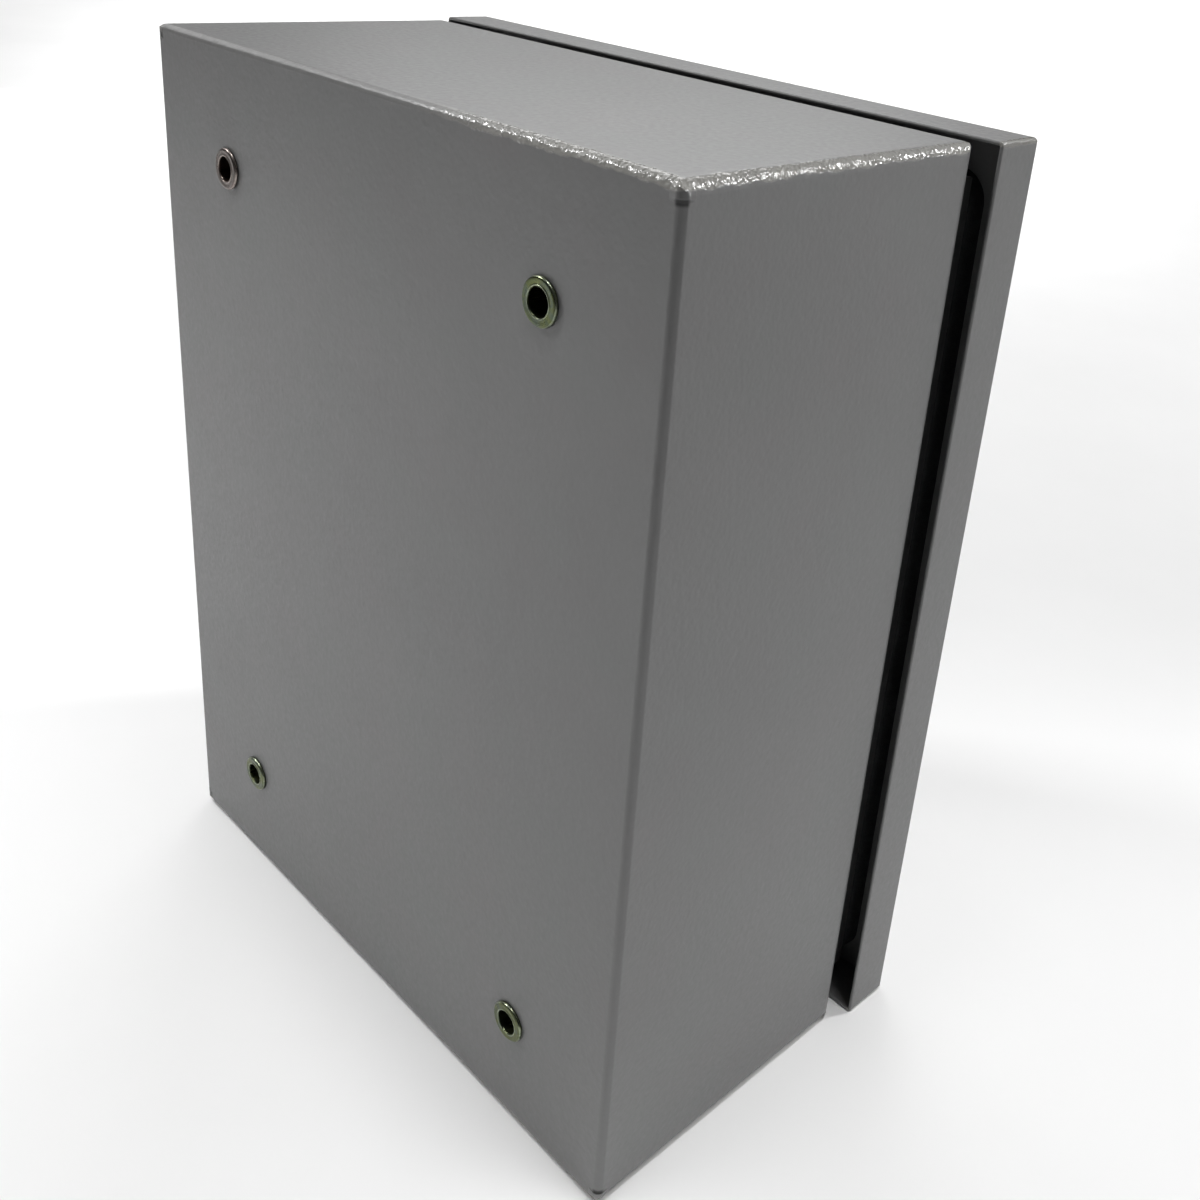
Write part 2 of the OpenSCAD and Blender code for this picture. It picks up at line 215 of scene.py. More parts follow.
def edge_mask(g, half_x, y_back, half_z, reach_top, reach_side, back):
    """1 near the ground weld edges round the top and bottom, 0 elsewhere, and a factor for how coarse the grinding is."""
    x, y, z = g.axes()
    a = g.math("SUBTRACT", half_z, g.math("ABSOLUTE", z))
    b = g.math("SUBTRACT", half_x, g.math("ABSOLUTE", x))
    wander = g.remap(g.noise(160.0, 2.0, 0.5), 0.3, 0.7, -0.0006, 0.0006)
    a = g.math("ADD", a, wander)
    m_a = g.remap(a, reach_top, reach_top * 1.35, 1.0, 0.0, True)
    m_side = g.remap(g.math("ADD", b, wander), reach_side, reach_side * 1.35, 1.0, 0.0, True)
    if not back:
        return g.math("MULTIPLY", m_a, m_side)
    c = g.math("ADD", g.math("SUBTRACT", y_back, y), wander)
    m_back = g.remap(c, 0.0034, 0.0047, 1.0, 0.0, True)
    # the rear edge is only coarse towards the corners on the lock side, further along it was dressed smooth
    coarse = g.remap(x, -0.080, -0.022, 1.0, 0.10, True)
    return g.math("MULTIPLY", m_a, g.math("MAXIMUM", m_side, g.math("MULTIPLY", m_back, coarse)))


def powder(name="powder_coat", tone=1.0, peel=1.0, zone=None):
    g = Graph(name)
    base = tuple(c * tone for c in PAINT)
    broad = g.noise(9.0, 3.0, 0.55)
    mott = g.noise(70.0, 3.0, 0.6)
    tint = g.noise(26.0, 2.0, 0.5, 0.3, g.mapped(loc=(3.1, 1.7, 0.4)))
    col = g.mix(g.remap(broad, 0.35, 0.65, 0.0, 1.0), tuple(c * 0.965 for c in base), tuple(c * 1.03 for c in base))
    col = g.mix(g.remap(mott, 0.3, 0.7, 0.0, 0.35), col, tuple(c * 0.94 for c in base))
    col = g.mix(g.remap(tint, 0.40, 0.66, 0.0, 0.55), col, (base[0] * 0.975, base[1] * 1.012, base[2] * 1.0))
    col = g.mix(g.remap(tint, 0.36, 0.18, 0.0, 0.55), col, (base[0] * 1.03, base[1] * 0.985, base[2] * 1.0))
    # orange peel: rounded lumps about 1.9 mm apart, on longer flow marks that run down the sheet
    lumps = g.voronoi(520.0, smooth=0.9)
    flow = g.noise(1.0, 2.0, 0.5, 0.0, g.mapped(scale=(330.0, 330.0, 250.0)))
    fine = g.noise(1500.0, 2.0, 0.5)
    h = g.math("ADD", g.math("MULTIPLY", lumps, -0.75), g.math("MULTIPLY", flow, 1.0))
    h = g.math("ADD", h, g.math("MULTIPLY", fine, 0.16))
    nrm = g.bump(h, 0.00022 * peel, 0.42)
    rough = g.remap(g.noise(420.0, 2.0, 0.5), 0.3, 0.7, 0.36, 0.46)
    if zone is not None:
        m = edge_mask(g, *zone)
        # ground weld under paint: lumps about 1.3 mm apart, level with the sheet on average
        grain = g.math("SUBTRACT", 0.42, g.voronoi(640.0, smooth=0.45))
        grain = g.math("ADD", grain, g.math("MULTIPLY", g.math("SUBTRACT", g.noise(1100.0, 1.0, 0.5), 0.5), 0.30))
        nrm = g.bump(g.math("MULTIPLY", grain, m), 0.00038 if zone[5] else 0.00022, 0.85, nrm)
        if zone[5]:
            # weld bead that swells out below the rear corners; below its end a small step is painted dark as painted
            # shade
            x, y, z = g.axes()
            down = g.math("SUBTRACT", zone[2], g.math("ABSOLUTE", z))
            far = g.math("MAXIMUM", g.math("SUBTRACT", zone[0], g.math("ABSOLUTE", x)), g.math("SUBTRACT", zone[1], y))
            bead = g.math("MULTIPLY", g.remap(down, 0.0010, 0.0050, 0.0, 1.0), g.remap(down, 0.0054, 0.0064, 1.0, 0.0, True))
            bead = g.math("MULTIPLY", bead, g.remap(far, 0.0028, 0.0056, 1.0, 0.0, True))
            nrm = g.bump(bead, 0.0017, 0.9, nrm)
            # painted shade: under the bead's end the colour is darkened to 0.12 of the paint, where a small step would
            # lie in shadow
            step = g.math("MULTIPLY", g.remap(down, 0.0050, 0.0057, 0.0, 1.0, True), g.remap(down, 0.0066, 0.0080, 1.0, 0.0, True))
            step = g.math("MULTIPLY", step, g.remap(far, 0.0020, 0.0036, 1.0, 0.0, True))
            col = g.mix(g.math("MULTIPLY", step, 0.85), col, tuple(c * 0.12 for c in base))
            rough = g.math("ADD", rough, g.math("MULTIPLY", step, 0.35))
        rough = g.math("SUBTRACT", rough, g.math("MULTIPLY", m, 0.22))
        # the ground strip is a little yellower than the sheet, and painted light makes it paler: its colour is raised
        # 1.4 to 2 times, most of all where it turns down into shade
        x, y, z = g.axes()
        depth = g.math("SUBTRACT", zone[2], g.math("ABSOLUTE", z))
        weld_tint_and_painted_light = g.mix(g.remap(depth, 0.0004, 0.0030, 0.0, 1.0), (base[0] * 1.40, base[1] * 1.39, base[2] * 1.28),
                     (base[0] * 2.05, base[1] * 2.04, base[2] * 1.90))
        col = g.mix(g.math("MULTIPLY", m, g.remap(g.noise(40.0, 2.0, 0.5), 0.3, 0.7, 0.65, 1.0)), col, weld_tint_and_painted_light)
    if zone is not None and zone[5]:
        # painted shade: the outer side of the rim behind the door is darkened to 0.2 of the paint, standing in for the
        # deep shadow in the door gap
        x, y, z = g.axes()
        rim = g.remap(y, YF - 0.0002, YF - 0.0012, 0.0, 1.0)
        col = g.mix(g.math("MULTIPLY", rim, 0.72), col, tuple(c * 0.20 for c in base))
    g.set(color=col, rough=rough, spec=0.5, ior=1.5, normal=nrm)
    return g.m


def zinc(name="zinc_plated", tone=(0.66, 0.67, 0.69), r0=0.22, r1=0.38):
    g = Graph(name)
    n1 = g.noise(140.0, 3.0, 0.6, 0.4)
    col = g.mix(g.remap(n1, 0.3, 0.7, 0.0, 1.0), tuple(c * 0.86 for c in tone), (tone[0] * 1.02, tone[1] * 1.03, tone[2] * 1.07))
    spots = g.noise(1200.0, 2.0, 0.6)
    col = g.mix(g.remap(spots, 0.60, 0.78, 0.0, 0.30), col, tuple(c * 0.55 for c in tone))
    rough = g.remap(g.noise(700.0, 3.0, 0.6), 0.3, 0.7, r0, r1)
    nrm = g.bump(g.noise(2200.0, 2.0, 0.5), 0.00003, 0.6)
    g.set(color=col, rough=rough, metal=1.0, normal=nrm)
    return g.m


def galvanised(name="galvanised"):
    g = Graph(name)
    warped = g.mapped()
    cell = g.voronoi(95.0, feature="F1", rand=1.0, src=warped, out="Color")
    sep = g.t.nodes.new("ShaderNodeSeparateColor")
    g.t.links.new(cell, sep.inputs[0])
    edge = g.noise(260.0, 4.0, 0.65, 0.8)
    v = g.math("ADD", g.math("MULTIPLY", sep.outputs[0], 0.7), g.math("MULTIPLY", edge, 0.45))
    col = g.ramp(v, [(0.15, (0.40, 0.42, 0.44)), (0.5, (0.55, 0.57, 0.59)), (0.9, (0.70, 0.72, 0.73))])
    rough = g.remap(g.math("ADD", sep.outputs[1], g.math("MULTIPLY", edge, 0.3)), 0.1, 1.2, 0.28, 0.50)
    nrm = g.bump(g.math("ADD", g.math("MULTIPLY", edge, 0.5), g.noise(1500.0, 2.0, 0.5)), 0.00005, 0.5)
    g.set(color=col, rough=rough, metal=1.0, normal=nrm)
    return g.m


def die_cast(name="die_cast"):
    g = Graph(name)
    n1 = g.noise(220.0, 3.0, 0.6)
    col = g.mix(g.remap(n1, 0.3, 0.7, 0.0, 1.0), (0.36, 0.37, 0.38), (0.47, 0.48, 0.49))
    rough = g.remap(g.noise(900.0, 3.0, 0.6), 0.3, 0.7, 0.30, 0.44)
    nrm = g.bump(g.noise(2600.0, 3.0, 0.6), 0.00005, 0.5)
    g.set(color=col, rough=rough, metal=1.0, normal=nrm)
    return g.m


def rubber(name="rubber", base=(0.018, 0.018, 0.019)):
    g = Graph(name)
    n1 = g.noise(60.0, 3.0, 0.6)
    col = g.mix(g.remap(n1, 0.3, 0.7, 0.0, 1.0), tuple(c * 0.8 for c in base), tuple(c * 1.5 for c in base))
    pores = g.voronoi(1500.0, smooth=0.5)
    rough = g.remap(g.noise(500.0, 2.0, 0.5), 0.3, 0.7, 0.62, 0.80)
    nrm = g.bump(g.math("ADD", pores, g.math("MULTIPLY", g.noise(500.0, 2.0, 0.5), 0.8)), 0.00015, 0.6)
    g.set(color=col, rough=rough, spec=0.35, normal=nrm)
    return g.m


M = {
    "powder_coat": powder(),
    "shell_coat": powder("powder_coat_shell", zone=(HW, YB, HH, 0.0026, 0.0034, True)),
    "door_coat": powder("powder_coat_door", zone=(float(D_HI[0]), 0.0, float(D_HI[2]), 0.0016, 0.0018, False)),
    "zinc_plated": zinc(),
    "galvanised": galvanised(),
    "die_cast": die_cast(),
    "rubber": rubber(),
}
SLOT = {s["node"]: s["material_slot"] for s in frame["record"]["subparts"]}


# ------------------------------------------------------------------ mesh helpers
MADE = []

def new_object(name, bm, material, body, stands_for):
    bmesh.ops.dissolve_degenerate(bm, dist=2e-6, edges=bm.edges[:])
    me = bpy.data.meshes.new(name)
    bm.to_mesh(me)
    bm.free()
    o = bpy.data.objects.new(name, me)
    scene.collection.objects.link(o)
    me.materials.append(material)
    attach(o, body)
    if stands_for:
        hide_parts(*([stands_for] if isinstance(stands_for, str) else stands_for))
    MADE.append(o)
    return o


def smooth_normals(objs, angle=34.0):
    """Corner normals weighted by face area, shared by touching faces of all objs that turn less than angle."""
    pos, nrm, wgt, spans = [], [], [], []
    start = 0
    for o in objs:
        me = o.data
        nl, nv, nf = len(me.loops), len(me.vertices), len(me.polygons)
        co = np.empty(nv * 3, np.float32); me.vertices.foreach_get("co", co); co = co.reshape(-1, 3)
        vi = np.empty(nl, np.int32); me.loops.foreach_get("vertex_index", vi)
        fn = np.empty(nf * 3, np.float32); me.polygons.foreach_get("normal", fn); fn = fn.reshape(-1, 3)
        fa = np.empty(nf, np.float32); me.polygons.foreach_get("area", fa)
        tot = np.empty(nf, np.int32); me.polygons.foreach_get("loop_total", tot)
        fi = np.repeat(np.arange(nf), tot)
        pos.append(co[vi]); nrm.append(fn[fi]); wgt.append(fa[fi])
        spans.append((o, start, start + nl)); start += nl
        me.polygons.foreach_set("use_smooth", np.ones(nf, bool))
    pos, nrm, wgt = np.concatenate(pos), np.concatenate(nrm).astype(float), np.concatenate(wgt).astype(float)
    key = np.round(pos / 2e-6).astype(np.int64)
    _, inv = np.unique(key, axis=0, return_inverse=True)
    inv = inv.ravel()
    order = np.argsort(inv, kind="stable")
    cuts = np.flatnonzero(np.diff(inv[order])) + 1
    limit = math.cos(math.radians(angle))
    out = np.zeros_like(nrm)
    for grp in np.split(order, cuts):
        n = nrm[grp]
        same = (n @ n.T) > limit
        s = (same * wgt[grp][None, :]) @ n
        out[grp] = s
    ln = np.linalg.norm(out, axis=1)
    bad = ln < 1e-12
    out[bad] = nrm[bad]
    ln[bad] = 1
    out /= ln[:, None]
    for o, a, b in spans:
        o.data.normals_split_custom_set(out[a:b].tolist())
        o.data.update()


def cad_bm(node):
    bm = bmesh.new()
    bm.from_mesh(NODES[node].data)
    bmesh.ops.remove_doubles(bm, verts=bm.verts[:], dist=3e-6)
    bmesh.ops.dissolve_limit(bm, angle_limit=math.radians(0.6), use_dissolve_boundaries=False,
                             verts=bm.verts[:], edges=bm.edges[:])
    bmesh.ops.recalc_face_normals(bm, faces=bm.faces[:])
    return bm


def round_edges(bm, width, segments=2, angle=40.0, keep=None, shortest=0.0):
    """Rounds the convex edges sharper than angle, except those keep(edge) is true for."""
    bm.normal_update()
    picked = []
    for e in bm.edges:
        if len(e.link_faces) != 2 or not e.is_convex:
            continue
        if e.calc_face_angle(0.0) < math.radians(angle):
            continue
        if e.calc_length() < shortest:
            continue
        if keep is not None and keep(e):
            continue
        picked.append(e)
    if picked:
        bmesh.ops.bevel(bm, geom=picked, offset=width, offset_type="OFFSET", segments=segments,
                        profile=0.5, affect="EDGES", clamp_overlap=False, loop_slide=True)
    return bm


# ------------------------------------------------------------------ painted shell of the body
def on_joint(e):
    """Edges on the faces where wrap, top and bottom meet: the weld covers them."""
    for f in e.link_faces:
        n = f.normal
        if abs(abs(n.x) - abs(n.z)) < 0.02 and abs(n.y) < 0.02 and abs(n.x) > 0.6:
            return True
        if abs(n.z) > 0.995 and abs(abs(f.calc_center_median().z) - (HH - SHEET)) < 2e-5:
            return True
    return False


def cut_many(bm, faces, axis, stops):
    """Cuts faces across axis at every stop, halving the list each time."""
    if not stops or not faces:
        return
    k = len(stops) // 2
    s = stops[k]
    no = Vector([1.0 if i == axis else 0.0 for i in range(3)])
    geom = list({v for f in faces for v in f.verts}) + list({e for f in faces for e in f.edges}) + list(faces)
    r = bmesh.ops.bisect_plane(bm, geom=geom, dist=2e-6, plane_co=no * s, plane_no=no)
    got = [g for g in r["geom"] if isinstance(g, bmesh.types.BMFace)]
    lo = [f for f in got if f.calc_center_bounds()[axis] < s]
    hi = [f for f in got if f.calc_center_bounds()[axis] >= s]
    cut_many(bm, lo, axis, stops[:k])
    cut_many(bm, hi, axis, stops[k + 1:])


def uneven_stops(a, b, step, seed):
    """Stops from a to b, about step apart, the same on every run."""
    out, x, i = [], a, 0
    while x < b:
        out.append(x)
        i += 1
        x += step * (0.72 + 0.56 * (0.5 + 0.5 * noise.noise(Vector((i * 0.73, seed * 1.7, 0.31)))))
    return out


RB, RS, RF = 0.003, 0.005, 0.006     # radii: rear edges, side-to-top edges, front edges

def core_dir(p, lo, hi, rx, ry_lo, ry_hi, rz):
    """Direction out of the box that is left inside the rounded edges."""
    c = Vector((min(max(p.x, lo.x + rx), hi.x - rx), min(max(p.y, lo.y + ry_lo), hi.y - ry_hi),
                min(max(p.z, lo.z + rz), hi.z - rz)))
    d = p - c
    return d


def weld_shift(p, lo, hi, edge_y_lo, edge_y_hi, depth, seed):
    """Moves a point on a ground weld edge a little way in, by an amount that depends on its place only."""
    side = hi.x - abs(p.x) < RS
    rz = RS if side else RB
    d = core_dir(p, lo, hi, RS if side else RB, edge_y_lo, edge_y_hi, rz)
    if d.length < 1e-6:
        return None
    m = d.normalized()
    # only where the surface turns between top or bottom and a side
    flat = max(abs(m.x), abs(m.y), abs(m.z))
    up = abs(m.z)
    if flat > 0.998 or up < 0.05:
        return None
    w = min(1.0, (0.998 - flat) / 0.05) * min(1.0, up / 0.25)
    q = p * 1000.0
    n1 = noise.noise(Vector((q.x * 0.42, q.y * 0.42, q.z * 0.42 + seed)))
    n2 = noise.noise(Vector((q.x * 1.05 + 7.0, q.y * 1.05, q.z * 1.05 + seed)))
    n3 = noise.noise(Vector((q.x * 0.09 + 3.0, q.y * 0.09, q.z * 0.09 + seed)))
    a = 0.5 + 0.55 * n1 + 0.45 * n2 + 0.5 * n3
    return m * (-depth * w * min(max(a, 0.0), 1.6))


def weld_edges(bm, lo, hi, y_lo_r, y_hi_r, depth, seed, back=True, reach=None):
    """Cuts the rounded edges round the top and bottom into short facets and makes them uneven."""
    bm.normal_update()
    def band(f, side):
        c = f.calc_center_bounds()
        n = f.normal
        if abs(n.z) > 0.9985 or max(abs(n.x), abs(n.y)) > 0.9985:
            return False
        if hi.z - c.z > RS and c.z - lo.z > RS:
            return False
        if side:
            return hi.x - abs(c.x) < RS and abs(n.y) < 0.5
        return hi.y - c.y < RB and abs(n.x) < 0.5
    if back:
        fs = [f for f in bm.faces if band(f, False)]
        cut_many(bm, fs, 0, uneven_stops(lo.x + RB + 0.0002, hi.x - RB, 0.00125, 1.0))
        bm.normal_update()
    fs = [f for f in bm.faces if band(f, True)]
    cut_many(bm, fs, 1, uneven_stops(lo.y + y_lo_r + 0.0002, hi.y - y_hi_r, 0.00125, 2.0))
    for v in bm.verts:
        if hi.z - v.co.z < RS or v.co.z - lo.z < RS:
            if reach is not None and not reach(v.co):
                continue
            s = weld_shift(v.co, lo, hi, y_lo_r, y_hi_r, depth, seed)
            if s is not None:
                v.co += s


def shell_piece(node, name):
    bm = cad_bm(node)
    round_edges(bm, 0.00040, 3, 45.0, keep=on_joint)
    lo, hi = Vector((-HW, YF, -HH)), Vector((HW, YB, HH))
    weld_edges(bm, lo, hi, 0.003, RB, 0.00013, 5.0,
               reach=lambda p: p.y > YF - 0.0001 and (HW - abs(p.x) < RS + 1e-5 or YB - p.y < RB + 1e-5)
               and max(abs(p.x) - (HW - SHEET), p.y - (YB - SHEET), abs(p.z) - (HH - SHEET)) > 1e-6)
    return new_object(name, bm, M["shell_coat"], "cabinet", node)


shell = [shell_piece("body_wrap", "cabinet_wrap"), shell_piece("top_panel", "cabinet_top"),
         shell_piece("bottom_panel", "cabinet_bottom")]
smooth_normals(shell)

# ------------------------------------------------------------------ door
bm = cad_bm("door_panel")
round_edges(bm, 0.00070, 4, 45.0)
door = new_object("door_skin", bm, M["door_coat"], "door", "door_panel")
smooth_normals([door])


# ------------------------------------------------------------------ lathe, sweep and thread helpers
def frame_for(axis):
    """Two unit vectors square to an axis."""
    a = Vector(axis).normalized()
    u = Vector((0, 0, 1)) if abs(a.z) < 0.9 else Vector((1, 0, 0))
    u = (u - a * u.dot(a)).normalized()
    return a, u, a.cross(u)


def lathe(bm, origin, axis, profile, segs=64, wobble=None):
    """Ring for each (radius, height) of profile about an axis; a radius of 0 closes it. Returns the rings."""
    a, u, v = frame_for(axis)
    o = Vector(origin)
    rings = []
    for j, (r, h) in enumerate(profile):
        if r < 1e-9:
            rings.append([bm.verts.new(o + a * h)])
            continue
        ring = []
        for i in range(segs):
            t = 2 * math.pi * i / segs
            rr = r + (wobble(j, t) if wobble else 0.0)
            ring.append(bm.verts.new(o + a * h + (u * math.cos(t) + v * math.sin(t)) * rr))
        rings.append(ring)
    for p, q in zip(rings, rings[1:]):
        n = max(len(p), len(q))
        for i in range(n):
            k = (i + 1) % n
            if len(p) == 1:
                bm.faces.new((p[0], q[k], q[i]))
            elif len(q) == 1:
                bm.faces.new((p[i], p[k], q[0]))
            else:
                bm.faces.new((p[i], p[k], q[k], q[i]))
    return rings


def close_loop(bm, first, last):
    """Joins the last ring of a lathe to the first, for a profile that closes on itself."""
    n = len(first)
    for i in range(n):
        k = (i + 1) % n
        bm.faces.new((last[i], last[k], first[k], first[i]))


def thread(bm, origin, axis, r, pitch, h0, h1, lead=0.8, segs=24):
    """Screw thread between heights h0 and h1 along axis, with a chamfered free end at h1 and a plain end at h0."""
    a, u, v = frame_for(axis)
    o = Vector(origin)
    rows = max(4, int(round((h1 - h0) / (pitch / 6))))
    depth = pitch * 0.55
    rings = []
    for j in range(rows + 1):
        h = h0 + (h1 - h0) * j / rows
        ring = []
        for i in range(segs):
            t = 2 * math.pi * i / segs
            ph = (h / pitch - i / segs) % 1.0
            tri = abs(ph * 2 - 1)
            tri = min(max((tri - 0.10) / 0.78, 0.0), 1.0)
            rr = r - depth * (1 - tri)
            end = (h1 - h) / (lead * pitch)
            rr = min(rr, r - depth * 0.95 + depth * 0.95 * min(1.0, end))
            start = min(1.0, (h - h0) / (0.6 * pitch))
            rr = (r - depth * 0.5) * (1 - start) + rr * start if start < 1 else rr
            ring.append(bm.verts.new(o + a * h + (u * math.cos(t) + v * math.sin(t)) * rr))
        rings.append(ring)
    for p, q in zip(rings, rings[1:]):
        for i in range(segs):
            k = (i + 1) % segs
            bm.faces.new((p[i], p[k], q[k], q[i]))
    top = bm.verts.new(o + a * (h1 - 0.00005))
    for i in range(segs):
        bm.faces.new((rings[-1][i], rings[-1][(i + 1) % segs], top))
    bot = bm.verts.new(o + a * h0)
    for i in range(segs):
        bm.faces.new((rings[0][(i + 1) % segs], rings[0][i], bot))


def islands(node):
    """Boxes of the separate solids in a node, sorted by place."""
    me = NODES[node].data
    bm = bmesh.new()
    bm.from_mesh(me)
    bmesh.ops.remove_doubles(bm, verts=bm.verts[:], dist=3e-6)
    seen, out = set(), []
    for v in bm.verts:
        if v.index in seen:
            continue
        stack, pts = [v], []
        seen.add(v.index)
        while stack:
            w = stack.pop()
            pts.append(tuple(w.co))
            for e in w.link_edges:
                x = e.other_vert(w)
                if x.index not in seen:
                    seen.add(x.index)
                    stack.append(x)
        p = np.array(pts)
        out.append((p.min(0), p.max(0)))
    bm.free()
    return sorted(out, key=lambda b: tuple(np.round((b[0] + b[1]) / 2, 4)))


# ------------------------------------------------------------------ wall bushes
def bush_material(name, cx, cz, warm, seed):
    """Yellow-passivated zinc with turning marks round the axis at cx, cz."""
    g = Graph(name)
    pos = g.mapped(loc=(-cx, 0, -cz))
    sep = g.t.nodes.new("ShaderNodeSeparateXYZ")
    g.t.links.new(pos, sep.inputs[0])
    x, y, z = sep.outputs
    rad = g.math("SQRT", g.math("ADD", g.math("MULTIPLY", x, x), g.math("MULTIPLY", z, z)))
    ang = g.math("ARCTAN2", z, x)
    comb = g.t.nodes.new("ShaderNodeCombineXYZ")
    g.t.links.new(g.math("MULTIPLY", rad, 2600.0), comb.inputs[0])
    g.t.links.new(g.math("MULTIPLY", ang, 0.5), comb.inputs[1])
    comb.inputs[2].default_value = seed
    rings = g.noise(1.0, 2.0, 0.5, 0.0, comb.outputs[0])
    comb2 = g.t.nodes.new("ShaderNodeCombineXYZ")
    g.t.links.new(g.math("MULTIPLY", ang, 7.0), comb2.inputs[0])
    g.t.links.new(g.math("MULTIPLY", y, 60.0), comb2.inputs[1])
    comb2.inputs[2].default_value = seed + 3.0
    streak = g.noise(1.0, 3.0, 0.6, 0.0, comb2.outputs[0])
    patch = g.noise(150.0, 3.0, 0.6, 0.7, g.mapped(loc=(seed * 0.37, seed * 0.11, seed * 0.23)))
    if warm:
        stops = [(0.25, (0.115, 0.082, 0.076)), (0.45, (0.140, 0.118, 0.110)), (0.60, (0.115, 0.108, 0.096)), (0.80, (0.150, 0.100, 0.100))]
    else:
        stops = [(0.22, (0.060, 0.080, 0.056)), (0.42, (0.115, 0.130, 0.052)), (0.58, (0.085, 0.105, 0.080)), (0.78, (0.150, 0.160, 0.070))]
    col = g.ramp(patch, stops)
    col = g.mix(g.remap(streak, 0.45, 0.75, 0.0, 0.35), col, (0.050, 0.058, 0.034) if not warm else (0.100, 0.074, 0.062))
    # painted highlight: the lip round the bore and the outer edge of the flange are lightened towards pale metal,
    # standing in for the highlights on these rounded edges
    lip_highlight = g.math("MULTIPLY", g.remap(rad, 0.00512, 0.00530, 0.0, 1.0), g.remap(rad, 0.00556, 0.00575, 1.0, 0.0))
    edge = g.math("MULTIPLY", g.remap(rad, 0.00795, 0.00825, 0.0, 1.0), g.remap(y, -0.0014, -0.0010, 0.0, 1.0))
    painted_edge_highlight = g.math("MULTIPLY", g.math("MAXIMUM", lip_highlight, edge), g.remap(streak, 0.30, 0.60, 1.0, 0.45))
    col = g.mix(g.math("MULTIPLY", painted_edge_highlight, 0.75), col, (0.36, 0.40, 0.30) if not warm else (0.46, 0.40, 0.37))
    # painted light: the bore colour is raised to a paler olive, most of all deep inside, so the shaded bore does not
    # render black
    inner = g.remap(rad, 0.00495, 0.00540, 1.0, 0.0)
    bore_painted_light = g.math("MULTIPLY", inner, g.remap(y, -0.0040, -0.0004, 1.0, 0.15))
    col = g.mix(g.math("MULTIPLY", bore_painted_light, 0.80), col, (0.30, 0.31, 0.17) if not warm else (0.34, 0.22, 0.16))
    # painted shade: a darker line round the foot of the flange, where it meets the wall
    foot = g.math("MULTIPLY", g.remap(y, -0.0018, -0.0013, 1.0, 0.0), g.remap(rad, 0.0078, 0.0084, 0.0, 1.0))
    col = g.mix(g.math("MULTIPLY", foot, 0.75), col, (0.035, 0.035, 0.028))
    rough = g.math("ADD", g.remap(rings, 0.3, 0.7, 0.18, 0.32), g.math("MULTIPLY", streak, 0.10))
    h = g.math("ADD", g.math("MULTIPLY", rings, 1.0), g.math("MULTIPLY", g.noise(2500.0, 2.0, 0.5), 0.35))
    nrm = g.bump(h, 0.00003, 0.7)
    g.set(color=col, rough=rough, metal=1.0, normal=nrm)
    return g.m


R_BORE, R_FL = 0.0050, 0.0085
FT = 0.0018
bush_profile = [  # radius, depth from the wall face towards the inside
    (5.00, 13.75), (5.00, 9.0), (5.00, 4.0), (5.00, 1.2), (5.00, 0.75), (5.02, 0.48), (5.10, 0.24), (5.22, 0.09), (5.38, 0.02),
    (5.54, 0.03), (5.66, 0.12), (5.78, 0.22), (5.95, 0.26), (6.4, 0.24), (6.9, 0.20), (7.35, 0.16), (7.68, 0.17),
    (7.95, 0.25), (8.16, 0.38), (8.32, 0.56), (8.43, 0.80), (8.49, 1.08), (8.49, 1.30), (8.43, 1.52), (8.32, 1.68),
    (8.20, 1.79), (7.6, 1.80), (6.50, 1.80), (6.50, 3.30), (7.45, 3.30), (7.66, 3.42), (7.68, 4.55), (7.55, 4.80),
    (6.56, 5.60), (6.50, 5.80), (6.50, 13.7), (6.42, 13.92), (6.25, 14.0), (5.25, 14.0), (5.08, 13.92)]
bushes = []
i = 0
for nm, sx, sz, warm in (("upper_lock_side", -1, 1, False), ("lower_lock_side", -1, -1, False),
                         ("upper_hinge_side", 1, 1, True), ("lower_hinge_side", 1, -1, False)):
    lo_, hi_ = box("wall_bushes")
    cx, cz = sx * (hi_[0] - R_FL), sz * (hi_[2] - R_FL)
    bm = bmesh.new()
    def wob(j, t, sx=sx, sz=sz, seed=i):
        # hand-pressed flange: a very slightly uneven outer edge
        if j < 16 or j > 27:
            return 0.0
        return 0.00004 * (noise.noise(Vector((math.cos(t) * 2.2, math.sin(t) * 2.2, seed * 3.1))) - 0.6)
    rings = lathe(bm, (cx, 0, cz), (0, -1, 0), [(r * MM, h * MM) for r, h in bush_profile], 96, wob)
    close_loop(bm, rings[0], rings[-1])
    bmesh.ops.recalc_face_normals(bm, faces=bm.faces[:])
    o = new_object("bush_" + nm, bm, bush_material("yellow_zinc_" + nm, cx, cz, warm, 1.7 + 2.3 * i), "cabinet",
                   "wall_bushes")
    bushes.append(o)
    smooth_normals([o], 30.0)
    i += 1

# ------------------------------------------------------------------ door gasket, poured foam with a skin
g_lo, g_hi = box("door_gasket")
D_IN = g_lo[1]                        # inner face of the door
GW = 0.012
gx, gz = (g_hi[0] - g_lo[0]) / 2 - GW / 2, (g_hi[2] - g_lo[2]) / 2 - GW / 2
gcx, gcz = (g_hi[0] + g_lo[0]) / 2, (g_hi[2] + g_lo[2]) / 2
GR = 0.0068                           # corner radius of the middle line
GH = g_hi[1] - g_lo[1]
path = []
def leg(p, q, step):
    n = max(1, int(round((Vector(q) - Vector(p)).length / step)))
    return [Vector(p) + (Vector(q) - Vector(p)) * k / n for k in range(n)]
corners = [((gx, gz), 0), ((-gx, gz), 90), ((-gx, -gz), 180), ((gx, -gz), 270)]
pts = []
for (cx_, cz_), a0 in corners:
    ox_, oz_ = math.copysign(gx - GR, cx_), math.copysign(gz - GR, cz_)
    pts.append([Vector((ox_ + GR * math.cos(math.radians(a0 + 7.5 * k)), oz_ + GR * math.sin(math.radians(a0 + 7.5 * k)))) for k in range(13)])
loop = []
